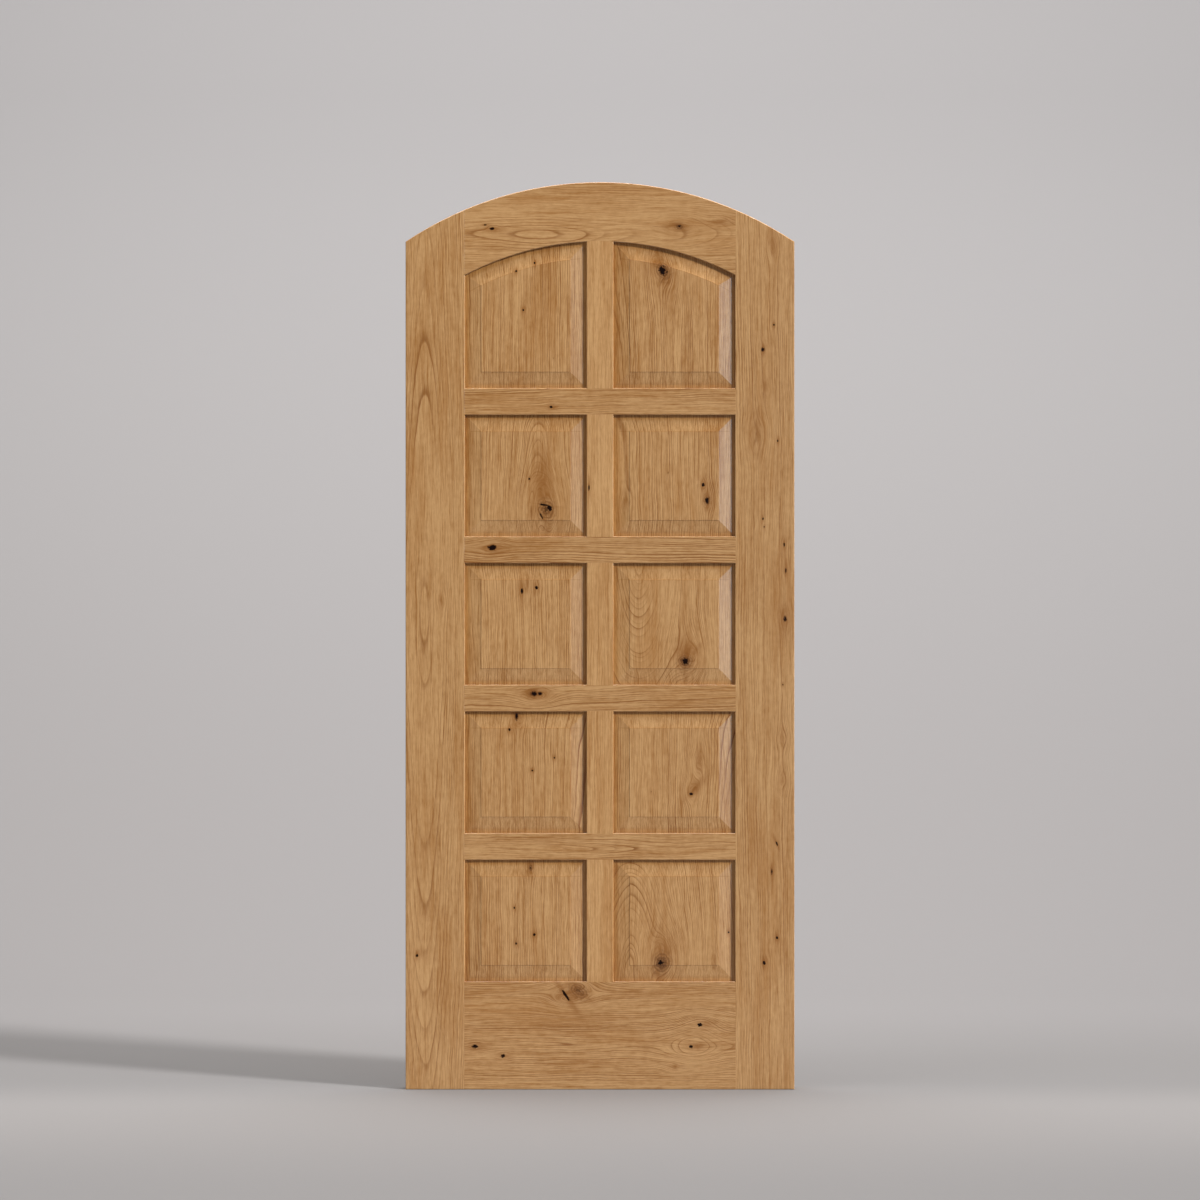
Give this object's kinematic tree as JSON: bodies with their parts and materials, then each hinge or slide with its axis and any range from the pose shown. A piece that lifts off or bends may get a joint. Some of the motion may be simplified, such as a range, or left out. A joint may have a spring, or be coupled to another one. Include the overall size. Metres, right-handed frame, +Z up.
{
  "type": "arched wooden door leaf",
  "caption": "Arched stile-and-rail door leaf in knotty oak, with two columns of raised panels below a segmental arched top rail.",
  "frame": {"origin": "middle of the bottom edge of the leaf, half way through its thickness", "axes": "+Z up the leaf, +X across its width to the right as seen from the front, -Y out of the front face"},
  "size_m": [0.9144, 0.0444, 2.1335],
  "materials": {
    "oak_frame": "knotty white oak, clear satin coat",
    "oak_panel": "knotty white oak, clear satin coat",
    "birch_dowel": "bare, inside glued joints"
  },
  "bodies": {
    "root": {"stile_left": "oak_frame", "stile_right": "oak_frame", "top_rail": "oak_frame", "cross_rail_1": "oak_frame", "cross_rail_2": "oak_frame", "cross_rail_3": "oak_frame", "cross_rail_4": "oak_frame", "bottom_rail": "oak_frame", "mullion_1": "oak_frame", "mullion_2": "oak_frame", "mullion_3": "oak_frame", "mullion_4": "oak_frame", "mullion_5": "oak_frame", "panel_1_left": "oak_panel", "panel_1_right": "oak_panel", "panel_2_left": "oak_panel", "panel_2_right": "oak_panel", "panel_3_left": "oak_panel", "panel_3_right": "oak_panel", "panel_4_left": "oak_panel", "panel_4_right": "oak_panel", "panel_5_left": "oak_panel", "panel_5_right": "oak_panel", "top_rail_dowels": "birch_dowel", "cross_rail_dowels": "birch_dowel", "bottom_rail_dowels": "birch_dowel", "mullion_dowels": "birch_dowel"}
  },
  "joints": []
}
